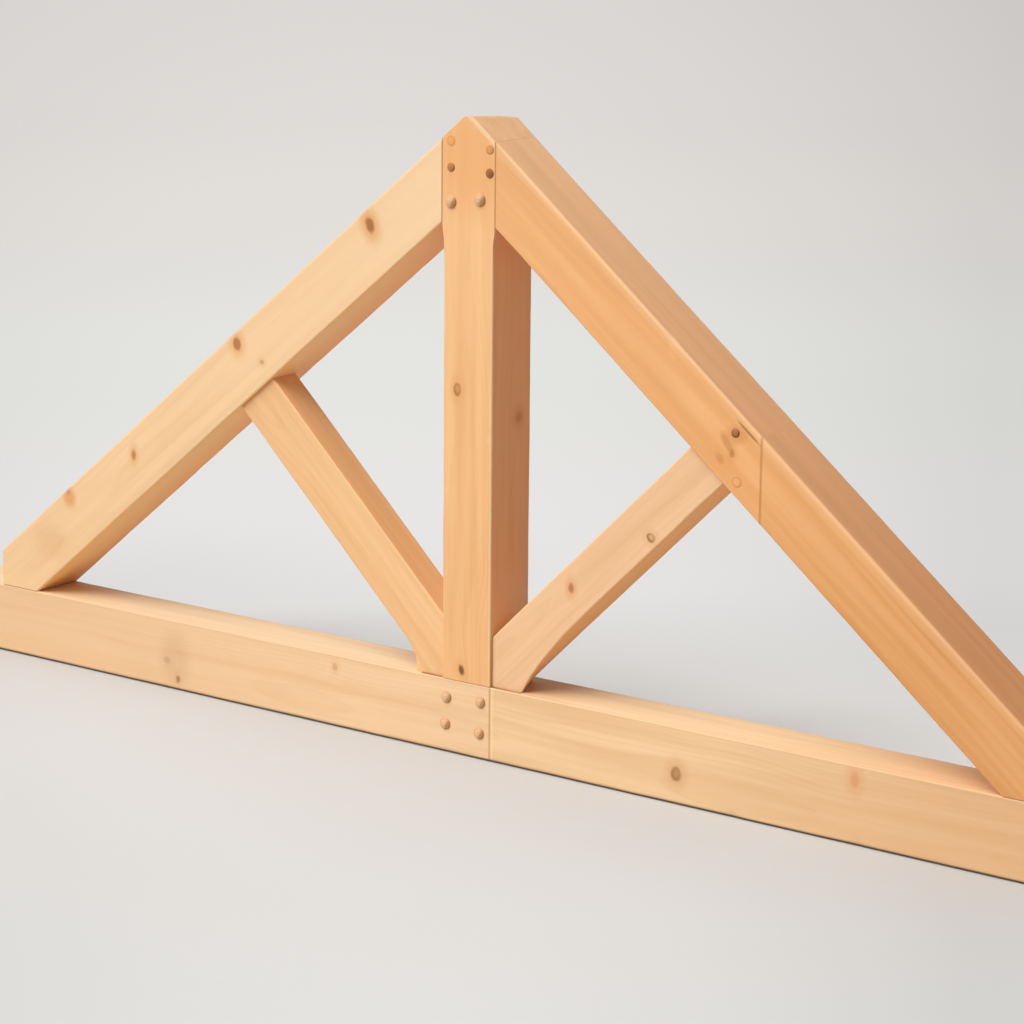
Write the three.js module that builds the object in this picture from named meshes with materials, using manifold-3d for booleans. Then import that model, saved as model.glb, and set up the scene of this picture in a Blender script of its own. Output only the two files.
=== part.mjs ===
// King-post roof truss of planed softwood, in millimetres, +Z up.
// X runs along the tie beam, Y goes through the truss from front (-Y) to back (+Y), and the
// underside of the tie beam lies on Z = 0. X = 0 is the middle of the king post and of the roof.
import * as THREE from 'three';
import { mergeVertices } from 'three/addons/utils/BufferGeometryUtils.js';
import Module from 'manifold-3d';

const wasm = await Module();
wasm.setup();

// ---------------------------------------------------------------- driving dimensions

// Timber
const timberWidth = 150; // front to back, the same for tie beam, rafters and king post
const tieDepth = 180;
const tieLength = 3600; // both lengths together, end to end
const rafterDepth = 150; // square to the slope
const postWidth = 140;
const headCheek = 6; // how far the head of the king post stands out on either side
const headSwellLength = 65; // plumb, where the post swells out to its head below the rafters
const strutLeftDepth = 130; // square to the strut
const strutRightDepth = 112;
const strutLeftThickness = 87; // front to back
const strutRightThickness = 103;
const strutSetback = 10; // from the front of the truss

// Eased long edges of the planed timber
const tieArris = 8;
const rafterArris = 10;
const postArris = 4;
const strutArris = 4;

// Roof
const roofPitch = THREE.MathUtils.degToRad(39);
const ridgeFlatFront = 24; // width of the planed flat on the tip of the king post
const ridgeFlatBack = 50; // it falls and widens towards the back
const heelFromEnd = 274; // from an end of the tie beam to the plumb-cut heel of the rafter on it
const heelHeight = 94; // the plumb cut at the heel, above the tie beam

// Struts
const strutPitch = THREE.MathUtils.degToRad(44);
const strutLeftShoulderHeight = 144; // upper edge of the strut on the post, above the tie beam
const strutRightShoulderHeight = 120;
const strutToeReach = 49; // how far the foot swells outwards along the tie beam
const strutLeftToeHeight = 78; // where the swelling starts, above the tie beam
const strutRightToeHeight = 300;

// Joints
const shoulderGap = 0.3; // between faces that bear on each other
const mortiseClearance = 0.3; // around a tenon or a tongue in its mortise
const tenonThickness = 40;
const headWeb = 26; // left between the tenons of the two rafters in the king post
const headTenonDrop = 40; // from where the slopes would meet down to the level top of its tip
const headTenonTopShoulder = 5;
const headTenonLowShoulder = 5;
const footTenonLength = 45; // rafter down into the tie beam
const footTenonShoulder = 22;
const postTenonLength = 18; // king post into the top of the tie beam
const postTenonShoulder = 18;
const strutTenonLength = 22; // strut into the post and into the rafter
const strutTenonShoulder = 22;
const tieTongueLength = 150; // right length of the tie beam into the left one
const tieTongueTopShoulder = 25;
const tieTongueLowShoulder = 38;
const spliceBeyondStrut = 98; // plumb splice in the right rafter, along X from the strut's lower edge
const rafterTongueLength = 86; // lower length of the right rafter into the upper one, along X
const rafterTongueShoulder = 10;

// Pegs
const pegDiameter = 22;
const pegHeadDiameter = 30;
const pegHeadHeight = 7;
const pegTailHeight = 7; // what stands out at the back
const pegTailTaper = 3;
const boreClearance = 0.3; // all round the shank

// Where the pegs go: in or back from the joint, and down from the named line.
// Neighbours are staggered so that no two split the same grain.
const headPegs = [ // in from the side of the head, and down from where the roof slopes would meet
  { name: 'head_peg_left_top', side: -1, inset: 26, down: 67 },
  { name: 'head_peg_left_middle', side: -1, inset: 26, down: 127 },
  { name: 'head_peg_left_bottom', side: -1, inset: 27, down: 206 },
  { name: 'head_peg_right_top', side: 1, inset: 16, down: 80 },
  { name: 'head_peg_right_middle', side: 1, inset: 16, down: 133 },
  { name: 'head_peg_right_bottom', side: 1, inset: 43, down: 195 },
];
const tiePegs = [ // back from the splice, and down from the top of the tie beam
  { name: 'tie_peg_left_top', back: 127, down: 45 },
  { name: 'tie_peg_left_bottom', back: 130, down: 110 },
  { name: 'tie_peg_right_top', back: 27, down: 40 },
  { name: 'tie_peg_right_bottom', back: 30, down: 116 },
];
const rafterPegs = [ // back from the splice, and down from the slope, square to it
  { name: 'rafter_peg_top', back: 67, down: 41 },
  { name: 'rafter_peg_bottom', back: 61, down: 121 },
];

// ---------------------------------------------------------------- lines of the truss

const roofSlope = Math.tan(roofPitch);
const strutSlope = Math.tan(strutPitch);
const postHalf = postWidth / 2;
const headHalf = postHalf + headCheek;
const rafterPlumbDepth = rafterDepth / Math.cos(roofPitch);
const spliceX = postHalf; // the tie beam is spliced in line with the right face of the post
const heelReach = tieLength / 2 - heelFromEnd; // from the middle of the post
const roofHeight = tieDepth + heelHeight + roofSlope * heelReach; // where the two slopes would meet
const throughCut = 2 * timberWidth;

// A distance square to a slope, measured plumb.
const plumb = (square, pitch) => square / Math.cos(pitch);

const leftStrut = {
  side: -1,
  depth: strutLeftDepth,
  thickness: strutLeftThickness,
  shoulder: strutLeftShoulderHeight,
  toeHeight: strutLeftToeHeight,
};
const rightStrut = {
  side: 1,
  depth: strutRightDepth,
  thickness: strutRightThickness,
  shoulder: strutRightShoulderHeight,
  toeHeight: strutRightToeHeight,
};

// Height of each line over x, counted outwards from the middle on either side of the truss.
const roofTop = (x) => roofHeight - roofSlope * x;
const roofUnder = (x) => roofTop(x) - rafterPlumbDepth;
const strutTop = ({ shoulder }, x) => tieDepth + shoulder + strutSlope * (x - postHalf);
const strutUnder = (one, x) => strutTop(one, x) - plumb(one.depth, strutPitch);

// How far out the underside of a rafter comes down to a height.
const underMeets = (z) => (roofUnder(0) - z) / roofSlope;

// How far out a line along the strut meets a line along the rafter, given their heights at X = 0.
const strutMeets = (strutZ, rafterZ) => (rafterZ - strutZ) / (roofSlope + strutSlope);

const rafterSpliceReach = strutMeets(strutUnder(rightStrut, 0), roofUnder(0)) + spliceBeyondStrut;

// ---------------------------------------------------------------- solids

const arrisSteps = 3; // facets round an eased arris

// A closed three.js geometry as a manifold, with shared corners merged and slivers dropped.
function solid(geometry) {
  const bare = geometry.index ? geometry.toNonIndexed() : geometry.clone();
  bare.deleteAttribute('normal');
  bare.deleteAttribute('uv');
  const merged = mergeVertices(bare, 1e-4);
  const index = merged.index.array;
  const kept = [];
  for (let i = 0; i < index.length; i += 3) {
    const [a, b, c] = [index[i], index[i + 1], index[i + 2]];
    if (a !== b && b !== c && c !== a) kept.push(a, b, c);
  }
  return new wasm.Manifold(new wasm.Mesh({
    numProp: 3,
    vertProperties: new Float32Array(merged.attributes.position.array),
    triVerts: new Uint32Array(kept),
  }));
}

// A manifold as a three.js geometry.
function geometryOf(manifold) {
  const mesh = manifold.getMesh();
  const geometry = new THREE.BufferGeometry();
  geometry.setAttribute('position', new THREE.BufferAttribute(mesh.vertProperties, 3));
  geometry.setIndex(new THREE.BufferAttribute(mesh.triVerts, 1));
  geometry.computeVertexNormals();
  return geometry;
}

// An outline drawn on the front of the truss as [x, z] corners, carried through it along Y.
function slab(corners, thickness) {
  const shape = new THREE.Shape(corners.map(([x, z]) => new THREE.Vector2(x, z)));
  const geometry = new THREE.ExtrudeGeometry(shape, { depth: thickness, bevelEnabled: false });
  geometry.translate(0, 0, -thickness / 2);
  geometry.rotateX(Math.PI / 2);
  return solid(geometry);
}

// The same with eased arrises all round.
function easedSlab(corners, thickness, arris) {
  const shape = new THREE.Shape(corners.map(([x, z]) => new THREE.Vector2(x, z)));
  const depth = thickness - 2 * arris;
  const geometry = new THREE.ExtrudeGeometry(shape, {
    depth,
    bevelThickness: arris,
    bevelSize: arris,
    bevelOffset: -arris,
    bevelSegments: arrisSteps,
  });
  geometry.translate(0, 0, -depth / 2);
  geometry.rotateX(Math.PI / 2);
  return solid(geometry);
}

// Planed stock with eased arrises, centred on [x, y, z] and turned up by the angle from level.
function stock([width, depth, arris], length, [x, y, z], angle) {
  const w = width / 2;
  const d = depth / 2;
  const r = Math.min(arris, w / 2, d / 2);
  const section = new THREE.Shape();
  section.moveTo(-w + r, -d);
  section.lineTo(w - r, -d);
  section.absarc(w - r, -d + r, r, -Math.PI / 2, 0);
  section.lineTo(w, d - r);
  section.absarc(w - r, d - r, r, 0, Math.PI / 2);
  section.lineTo(-w + r, d);
  section.absarc(-w + r, d - r, r, Math.PI / 2, Math.PI);
  section.lineTo(-w, -d + r);
  section.absarc(-w + r, -d + r, r, Math.PI, Math.PI * 1.5);
  const geometry = new THREE.ExtrudeGeometry(section, {
    depth: length,
    bevelEnabled: false,
    curveSegments: arrisSteps,
  });
  geometry.translate(0, 0, -length / 2);
  const across = new THREE.Vector3(0, 1, 0);
  const up = new THREE.Vector3(-Math.sin(angle), 0, Math.cos(angle));
  const along = new THREE.Vector3().crossVectors(across, up);
  geometry.applyMatrix4(new THREE.Matrix4().makeBasis(across, up, along).setPosition(x, y, z));
  return solid(geometry);
}

// Corners given outwards from the middle, moved to the side asked for.
const onSide = (side, corners) => corners.map(([x, z]) => [side * x, z]);

// The same corners on the right and, in return, on the left: one outline across the middle.
const onBothSides = (corners) => [...onSide(1, corners).reverse(), ...onSide(-1, corners)];

// A tenon or tongue drawn as an outline, and the mortise that takes it.
const tenon = (corners) => slab(corners, tenonThickness);
const mortise = (corners) => slab(corners, tenonThickness + 2 * mortiseClearance);

const joined = (list) => list.reduce((sum, one) => sum.add(one));

// ---------------------------------------------------------------- joint outlines

// Each outline function takes the play around it: 0 for the tenon, the clearance for its
// mortise. `root` is how far the outline runs back into the piece that carries it.

function headTenon(side, play) {
  const tip = headWeb / 2 - play;
  const root = headHalf + (play || headHalf - tip);
  const upper = (x) => roofTop(x) - plumb(headTenonTopShoulder - play, roofPitch);
  const lower = (x) => roofUnder(x) + plumb(headTenonLowShoulder - play, roofPitch);
  const crown = roofHeight - headTenonDrop + play;
  const bend = (upper(0) - crown) / roofSlope; // where the level top meets the slope
  const top = [[root, upper(root)], [bend, crown], [tip, crown]];
  return onSide(side, [[tip, lower(tip)], [root, lower(root)], ...top]);
}

function footTenon(side, play) {
  const toe = underMeets(tieDepth) + footTenonShoulder - play;
  const heel = heelReach - footTenonShoulder + play;
  const bottom = tieDepth - footTenonLength - play;
  const root = tieDepth + (play || footTenonLength);
  return onSide(side, [[toe, bottom], [heel, bottom], [heel, root], [toe, root]]);
}

function postTenon(play) {
  const half = postHalf - postTenonShoulder + play;
  const bottom = tieDepth - postTenonLength - play;
  const root = tieDepth + (play || postTenonLength);
  return [[-half, bottom], [half, bottom], [half, root], [-half, root]];
}

// Into the post: the top follows the strut, the bottom is level above the tie beam.
function strutFootTenon(one, play) {
  const tip = postHalf - strutTenonLength - play;
  const root = postHalf + (play || strutTenonLength);
  const upper = (x) => strutTop(one, x) - plumb(strutTenonShoulder - play, strutPitch);
  const lower = tieDepth + strutTenonShoulder - play;
  return onSide(one.side, [[tip, lower], [root, lower], [root, upper(root)], [tip, upper(tip)]]);
}

// Into the rafter, along the strut. Its tip is cut parallel to the rafter.
function strutHeadTenon(one, play) {
  const upper = (x) => strutTop(one, x) - plumb(strutTenonShoulder - play, strutPitch);
  const lower = (x) => strutUnder(one, x) + plumb(strutTenonShoulder - play, strutPitch);
  const meet = (line, past) => {
    const x = strutMeets(line(0), roofUnder(0) + plumb(past, roofPitch));
    return [x, line(x)];
  };
  const tip = strutTenonLength + play;
  const root = -(play || strutTenonLength);
  return onSide(one.side, [meet(lower, root), meet(lower, tip), meet(upper, tip), meet(upper, root)]);
}

function tieTongue(play) {
  const tip = spliceX - tieTongueLength - play;
  const root = spliceX + (play || tieTongueLength);
  const upper = tieDepth - tieTongueTopShoulder + play;
  const lower = tieTongueLowShoulder - play;
  return [[tip, lower], [root, lower], [root, upper], [tip, upper]];
}

function rafterTongue(play) {
  const tip = rafterSpliceReach - rafterTongueLength - play;
  const root = rafterSpliceReach + (play || rafterTongueLength);
  const upper = (x) => roofTop(x) - plumb(rafterTongueShoulder - play, roofPitch);
  const lower = (x) => roofUnder(x) + plumb(rafterTongueShoulder - play, roofPitch);
  return [[tip, lower(tip)], [root, lower(root)], [root, upper(root)], [tip, upper(tip)]];
}

// ---------------------------------------------------------------- pegs

const atHead = ({ name, side, inset, down }) => {
  return { name, x: side * (headHalf - inset), z: roofHeight - down };
};
const atTie = ({ name, back, down }) => ({ name, x: spliceX - back, z: tieDepth - down });
const atRafter = ({ name, back, down }) => {
  const x = rafterSpliceReach - back;
  return { name, x, z: roofTop(x) - plumb(down, roofPitch) };
};
const headPlaces = headPegs.map(atHead);
const tiePlaces = tiePegs.map(atTie);
const rafterPlaces = rafterPegs.map(atRafter);

const pegSides = 24;
const domeSteps = 4;

// A turned peg: a domed head in front, a straight shank and a chamfered tail behind.
function pegGeometry() {
  const shank = pegDiameter / 2;
  const headRadius = pegHeadDiameter / 2;
  const seat = -timberWidth / 2 - shoulderGap;
  const back = timberWidth / 2 + pegTailHeight;
  const profile = [new THREE.Vector2(0, back)];
  profile.push(new THREE.Vector2(shank - pegTailTaper, back));
  profile.push(new THREE.Vector2(shank, back - pegTailTaper));
  profile.push(new THREE.Vector2(shank, seat));
  profile.push(new THREE.Vector2(headRadius, seat));
  for (let i = 1; i <= domeSteps; i += 1) {
    const turn = (i / domeSteps) * Math.PI / 2;
    const rise = (pegHeadHeight - shoulderGap) * Math.sin(turn);
    profile.push(new THREE.Vector2(headRadius * Math.cos(turn), seat - rise));
  }
  profile[profile.length - 1].x = 0;
  return new THREE.LatheGeometry(profile.reverse(), pegSides);
}

// The holes for a set of pegs, right through the truss.
function bores(places) {
  const radius = pegDiameter / 2 + boreClearance;
  return joined(places.map(({ x, z }) => {
    const geometry = new THREE.CylinderGeometry(radius, radius, throughCut, pegSides);
    geometry.translate(x, 0, z);
    return solid(geometry);
  }));
}

// ---------------------------------------------------------------- timbers

const halfGap = shoulderGap / 2;
const seatZ = tieDepth + shoulderGap; // what stands on the tie beam
const bodySideX = postHalf + shoulderGap; // what butts against the body of the post
const headSideX = headHalf + shoulderGap; // and against its head

// The king post's stock, with its head left wider. The swelling starts inside the eased edges.
function postStock() {
  const length = 2 * roofHeight;
  const centre = [0, 0, roofHeight / 2];
  const piece = (width) => stock([timberWidth, width, postArris], length, centre, Math.PI / 2);
  const neck = postHalf - postArris;
  const swellTop = roofUnder(headSideX);
  const headWidth = 2 * headHalf;
  const beyond = headWidth - neck; // the sloping cheek is carried on as far again
  const cheeks = onBothSides([
    [beyond, roofHeight],
    [beyond, swellTop + headSwellLength],
    [neck, swellTop - headSwellLength],
  ]);
  return piece(postWidth).add(piece(headWidth).intersect(slab(cheeks, throughCut)));
}

// What is planed off the tip of the king post, above a flat that falls from front to back.
function ridgeShaving() {
  const half = timberWidth / 2;
  const front = roofTop(ridgeFlatFront / 2);
  const back = roofTop(ridgeFlatBack / 2);
  const beyond = front - back; // the flat is carried on past both faces
  const corners = [
    [-3 * half, front + beyond],
    [3 * half, back - beyond],
    [3 * half, roofHeight + beyond],
    [-3 * half, roofHeight + beyond],
  ];
  return slab(corners, throughCut).rotate(0, 0, 90);
}

function kingPost() {
  const far = 2 * headHalf;
  const outline = onBothSides([[0, roofHeight], [far, roofTop(far)], [far, seatZ]]);
  const sockets = [
    mortise(headTenon(-1, mortiseClearance)),
    mortise(headTenon(1, mortiseClearance)),
    mortise(strutFootTenon(leftStrut, mortiseClearance)),
    mortise(strutFootTenon(rightStrut, mortiseClearance)),
  ];
  return postStock()
    .intersect(slab(outline, throughCut))
    .subtract(ridgeShaving())
    .add(tenon(postTenon(0)))
    .subtract(joined(sockets))
    .subtract(bores(headPlaces));
}

// A rafter's stock between two plumb cuts, with its foot cut level above the tie beam.
function rafterBetween(side, near, far) {
  const middle = heelReach / 2;
  const centre = [side * middle, 0, roofTop(middle) - rafterPlumbDepth / 2];
  const outline = [[near, seatZ], [far, seatZ], [far, roofHeight], [near, roofHeight]];
  const length = 2 * roofHeight + heelReach;
  return stock([timberWidth, rafterDepth, rafterArris], length, centre, -side * roofPitch)
    .intersect(slab(onSide(side, outline), throughCut));
}

function rafterLeft() {
  return rafterBetween(-1, headSideX, heelReach)
    .add(tenon(headTenon(-1, 0)))
    .add(tenon(footTenon(-1, 0)))
    .subtract(mortise(strutHeadTenon(leftStrut, mortiseClearance)))
    .subtract(bores(headPlaces));
}

function rafterRightUpper() {
  return rafterBetween(1, headSideX, rafterSpliceReach - halfGap)
    .add(tenon(headTenon(1, 0)))
    .subtract(mortise(strutHeadTenon(rightStrut, mortiseClearance)))
    .subtract(mortise(rafterTongue(mortiseClearance)))
    .subtract(bores([...headPlaces, ...rafterPlaces]));
}

function rafterRightLower() {
  return rafterBetween(1, rafterSpliceReach + halfGap, heelReach)
    .add(tenon(rafterTongue(0)))
    .add(tenon(footTenon(1, 0)))
    .subtract(bores(rafterPlaces));
}

const toeSteps = 8;

// A strut drawn from the front, running on past both ends. Its lower edge leaves the straight
// underside in a curve, so that the foot swells out along the tie beam.
function strutOutline(one) {
  const underside = (z) => (z - strutUnder(one, 0)) / strutSlope;
  const toe = Array.from({ length: toeSteps + 2 }, (_, i) => { // the last step is below the seat
    const share = i / toeSteps;
    const z = seatZ + one.toeHeight * (1 - share);
    return [underside(z) + strutToeReach * share ** 2, z];
  });
  const [, low] = toe[toe.length - 1];
  const upper = [[0, low], [0, strutTop(one, 0)], [heelReach, strutTop(one, heelReach)]];
  return [[heelReach, strutUnder(one, heelReach)], ...toe, ...upper];
}

// A strut fills its line in the three-cornered opening between post, tie beam and rafter.
function strut(one) {
  const under = -plumb(shoulderGap, roofPitch);
  const opening = [
    [bodySideX, seatZ],
    [underMeets(seatZ - under), seatZ],
    [bodySideX, roofUnder(bodySideX) + under],
  ];
  return easedSlab(onSide(one.side, strutOutline(one)), one.thickness, strutArris)
    .translate(0, strutSetback + (one.thickness - timberWidth) / 2, 0)
    .intersect(slab(onSide(one.side, opening), throughCut))
    .add(tenon(strutFootTenon(one, 0)))
    .add(tenon(strutHeadTenon(one, 0)));
}

// The tie beam's stock between two square cuts.
function tieBetween(near, far) {
  const outline = [[near, -tieDepth], [far, -tieDepth], [far, 2 * tieDepth], [near, 2 * tieDepth]];
  return stock([timberWidth, tieDepth, tieArris], tieLength, [0, 0, tieDepth / 2], 0)
    .intersect(slab(outline, throughCut));
}

function tieBeamLeft() {
  return tieBetween(-tieLength, spliceX - halfGap)
    .subtract(mortise(tieTongue(mortiseClearance)))
    .subtract(mortise(postTenon(mortiseClearance)))
    .subtract(mortise(footTenon(-1, mortiseClearance)))
    .subtract(bores(tiePlaces));
}

function tieBeamRight() {
  return tieBetween(spliceX + halfGap, tieLength)
    .add(tenon(tieTongue(0)))
    .subtract(mortise(footTenon(1, mortiseClearance)))
    .subtract(bores(tiePlaces));
}

// ---------------------------------------------------------------- truss

const paleFir = '#e6bb88';
const honeyFir = '#dfa568';
const tanFir = '#e2b17a';
const pegOak = '#c99a68';

function wood(colour) {
  return new THREE.MeshStandardMaterial({ color: colour, roughness: 0.62, metalness: 0 });
}

function timber(name, manifold, colour) {
  const mesh = new THREE.Mesh(geometryOf(manifold), wood(colour));
  mesh.name = name;
  return mesh;
}

function peg({ name, x, z }) {
  const mesh = new THREE.Mesh(pegGeometry(), wood(pegOak));
  mesh.name = name;
  mesh.position.set(x, 0, z);
  return mesh;
}

const truss = new THREE.Group();
truss.add(
  timber('tie_beam_left', tieBeamLeft(), paleFir),
  timber('tie_beam_right', tieBeamRight(), paleFir),
  timber('king_post', kingPost(), tanFir),
  timber('rafter_left', rafterLeft(), paleFir),
  timber('rafter_right_upper', rafterRightUpper(), honeyFir),
  timber('rafter_right_lower', rafterRightLower(), honeyFir),
  timber('strut_left', strut(leftStrut), tanFir),
  timber('strut_right', strut(rightStrut), tanFir),
  ...[...headPlaces, ...tiePlaces, ...rafterPlaces].map(peg),
);

export default truss;
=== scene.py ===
"""King-post roof truss of planed softwood: tie beam, king post, rafters, struts and wooden pegs.

Everything is in metres in the truss's own frame: X along the tie beam, Y from the front to the
back, Z up, with the underside of the tie beam on Z = 0.
"""

import math

import bpy
import numpy as np
from mathutils import Matrix, Vector


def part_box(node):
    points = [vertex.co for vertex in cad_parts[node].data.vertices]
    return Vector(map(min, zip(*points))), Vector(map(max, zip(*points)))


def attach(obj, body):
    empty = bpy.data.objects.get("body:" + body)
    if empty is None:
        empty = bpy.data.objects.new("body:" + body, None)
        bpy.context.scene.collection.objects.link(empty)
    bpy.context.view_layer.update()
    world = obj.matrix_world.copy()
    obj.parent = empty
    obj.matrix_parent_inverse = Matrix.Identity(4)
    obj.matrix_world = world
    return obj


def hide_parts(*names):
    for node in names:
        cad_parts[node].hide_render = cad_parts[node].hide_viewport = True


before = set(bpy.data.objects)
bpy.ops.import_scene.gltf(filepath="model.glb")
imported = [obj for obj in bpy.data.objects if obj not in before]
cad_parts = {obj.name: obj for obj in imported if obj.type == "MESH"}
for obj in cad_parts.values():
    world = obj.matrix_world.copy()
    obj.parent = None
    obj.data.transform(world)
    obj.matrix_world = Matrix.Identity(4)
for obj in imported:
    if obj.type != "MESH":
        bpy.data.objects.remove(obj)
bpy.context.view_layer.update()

MM = 0.001
FULL_TURN = 2 * math.pi
QUARTER = math.pi / 2

# ---- sizes

TIMBER_WIDTH = 150 * MM
TIE_DEPTH = 180 * MM
TIE_LENGTH = 3600 * MM
RAFTER_DEPTH = 150 * MM
POST_WIDTH = 140 * MM
HEAD_CHEEK = 6 * MM  # how far the post's head stands out on either side
HEAD_SWELL = 42 * MM  # the height over which the post swells out to it
STRUT_SETBACK = 10 * MM
STRUT_TOE_REACH = 49 * MM
RIDGE_FLAT_FRONT = 24 * MM
RIDGE_FLAT_BACK = 50 * MM
HEEL_FROM_END = 274 * MM
HEEL_HEIGHT = 94 * MM
SPLICE_BEYOND_STRUT = 98 * MM
SHOULDER_GAP = 0.3 * MM
HALF_GAP = 0.05 * MM
ROOF_PITCH = math.radians(39)
STRUT_PITCH = math.radians(44)

# How high each strut's shoulder and toe stand, the power by which the toe swells, and how much of
# the swelling is planed away at the back.
LEFT_STRUT = {
    "side": -1, "depth": 130 * MM, "thickness": 87 * MM, "shoulder": 144 * MM, "toe": 78 * MM,
    "power": 2.0, "twist": 0.0}
RIGHT_STRUT = {
    "side": 1, "depth": 112 * MM, "thickness": 103 * MM, "shoulder": 120 * MM, "toe": 300 * MM,
    "power": 3.2, "twist": 1.0}

POST_HALF = POST_WIDTH / 2
HEAD_HALF = POST_HALF + HEAD_CHEEK
SEAT_Z = TIE_DEPTH + SHOULDER_GAP
BODY_SIDE_X = POST_HALF + SHOULDER_GAP
HEAD_SIDE_X = HEAD_HALF + SHOULDER_GAP
SPLICE_X = POST_HALF
HEEL_REACH = TIE_LENGTH / 2 - HEEL_FROM_END
ROOF_SLOPE = math.tan(ROOF_PITCH)
STRUT_SLOPE = math.tan(STRUT_PITCH)
ROOF_HEIGHT = TIE_DEPTH + HEEL_HEIGHT + ROOF_SLOPE * HEEL_REACH  # where the two slopes would meet
RIDGE_TIP = ROOF_HEIGHT - ROOF_SLOPE * RIDGE_FLAT_FRONT / 2
RAFTER_PLUMB = RAFTER_DEPTH / math.cos(ROOF_PITCH)


def strut_top(one):
    """Height of a strut's upper edge, drawn on to the middle of the post."""
    return TIE_DEPTH + one["shoulder"] - STRUT_SLOPE * POST_HALF


def strut_under(one):
    """Height of a strut's lower edge, drawn on to the middle of the post."""
    return strut_top(one) - one["depth"] / math.cos(STRUT_PITCH)


def under_rafter(height):
    """How far out a strut's edge that starts at this height meets the underside of a rafter."""
    return (ROOF_HEIGHT - RAFTER_PLUMB - height) / (ROOF_SLOPE + STRUT_SLOPE)


RAFTER_SPLICE_X = under_rafter(strut_under(RIGHT_STRUT)) + SPLICE_BEYOND_STRUT

# Radii of the arrises in millimetres: low front, low back, high back, high front.
TIE_ARRISES = (8, 8, 8, 4)
LEFT_RAFTER_ARRISES = (3.5, 8, 8, 5)
RIGHT_RAFTER_ARRISES = (4, 8, 3, 7)
POST_ARRISES = (4, 4, 4, 4)
STRUT_ARRISES = (4, 4, 4, 4)
CRISP_ARRIS = 1.2 * MM
CRISP_FADE = 60 * MM  # the length over which a crisp arris grows to its full radius

rng = np.random.default_rng(39)


# ---- meshes

def put_mesh(name, points, faces, numbers=None):
    """Makes one smooth object from an array of points and a list of arrays of faces.

    numbers holds a value for every point under each name, which the material reads.
    """
    mesh = bpy.data.meshes.new(name)
    corners = [face for block in faces for face in block.tolist()]
    mesh.from_pydata(points.tolist(), [], corners)
    mesh.polygons.foreach_set("use_smooth", np.full(len(corners), True))
    for key, values in (numbers or {}).items():
        kind, field = ("FLOAT", "value") if values.ndim == 1 else ("FLOAT_VECTOR", "vector")
        layer = mesh.attributes.new(key, kind, "POINT")
        layer.data.foreach_set(field, values.astype(np.float32).ravel())
    mesh.update()
    piece = bpy.data.objects.new(name, mesh)
    bpy.context.scene.collection.objects.link(piece)
    return piece


def band_faces(rings, sides):
    """Quads between neighbouring rings of points, each ring closed on itself."""
    i = np.arange(sides)
    k = (i + 1) % sides
    j = np.arange(rings - 1)[:, None] * sides
    return np.stack([j + i, j + k, j + sides + k, j + sides + i], -1).reshape(-1, 4)


def corner_notch(radius, reach):
    """How far a rounded corner falls in from the side face, at a height `reach` from the edge.

    A quarter circle: radius less the root of radius squared less (radius - reach) squared.
    """
    inner = np.clip(radius - reach, 0, None)
    return radius - np.sqrt(np.clip(radius ** 2 - inner ** 2, 0, None))


def section_outline(width, depth, across, up, radii):
    """Outline of a timber's section at every station, as (stations, points) arrays of y and v.

    The bottom row runs front to back, then the back face up, the top row back to front, and the
    front face down. A point of a side face at height v is half the width out, less the corner's
    notch; a point of the top or bottom row divides the flat between its two corners.
    """
    half_w, half_d = width / 2, depth / 2
    front_low, back_low, back_high, front_high = (radii[:, k:k + 1] for k in range(4))
    share = (across[None, :] + 1) / 2
    side = up[None, 1:-1]
    reach = half_d - np.abs(side)
    low = side < 0
    bottom = (1 - share) * (front_low - half_w) + share * (half_w - back_low)
    top = (1 - share) * (front_high - half_w) + share * (half_w - back_high)
    back = half_w - corner_notch(np.where(low, back_low, back_high), reach)
    front = corner_notch(np.where(low, front_low, front_high), reach) - half_w
    stations = len(radii)
    y = np.concatenate([bottom, back, top[:, ::-1], front[:, ::-1]], axis=1)
    v = np.concatenate([
        np.full(bottom.shape, -half_d), np.repeat(side, stations, 0),
        np.full(top.shape, half_d), np.repeat(side[:, ::-1], stations, 0)], axis=1)
    return y, v


def outward(y, v):
    """Direction square to each outline, away from its middle: its tangent turned by a quarter."""
    ty = np.roll(y, -1, 1) - np.roll(y, 1, 1)
    tv = np.roll(v, -1, 1) - np.roll(v, 1, 1)
    length = np.hypot(ty, tv)
    return tv / length, -ty / length


def wander(along, radius, nicks=5):
    """Radius of one eased arris along the timber, as a plane leaves it.

    The set radius, times one plus two slow waves of 10 and 6 per cent, plus a few short bell-shaped
    nicks where the arris was knocked.
    """
    phase = rng.uniform(0, FULL_TURN, 2)
    wave = 0.10 * np.sin(FULL_TURN * along / 0.43 + phase[0])
    wave += 0.06 * np.sin(FULL_TURN * along / 0.157 + phase[1])
    places = rng.uniform(along[0], along[-1], nicks)
    widths = rng.uniform(0.006, 0.018, nicks)
    depths = rng.uniform(0.1, 0.35, nicks)
    bells = depths * np.exp(-((along[:, None] - places) / widths) ** 2)
    return radius * (1 + wave + bells.sum(1))


def cut_at(planes, centre, angle, v, far):
    """Where the cuts of one end meet the line at height v, measured along the timber.

    Each plane is a point and an outward normal in X and Z; the line meets it at
    (point - centre - v * up) . normal / along . normal, and the nearest plane cuts the wood.
    """
    along = np.array([math.cos(angle), math.sin(angle)])
    up = np.array([-math.sin(angle), math.cos(angle)])
    start = np.array([centre[0], centre[2]])
    meets = []
    for point, normal in planes:
        normal = np.array(normal)
        base = (np.array(point) - start) @ normal
        meets.append((base - v * (up @ normal)) / (along @ normal))
    return np.min(meets, 0) if far else np.max(meets, 0)


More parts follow.
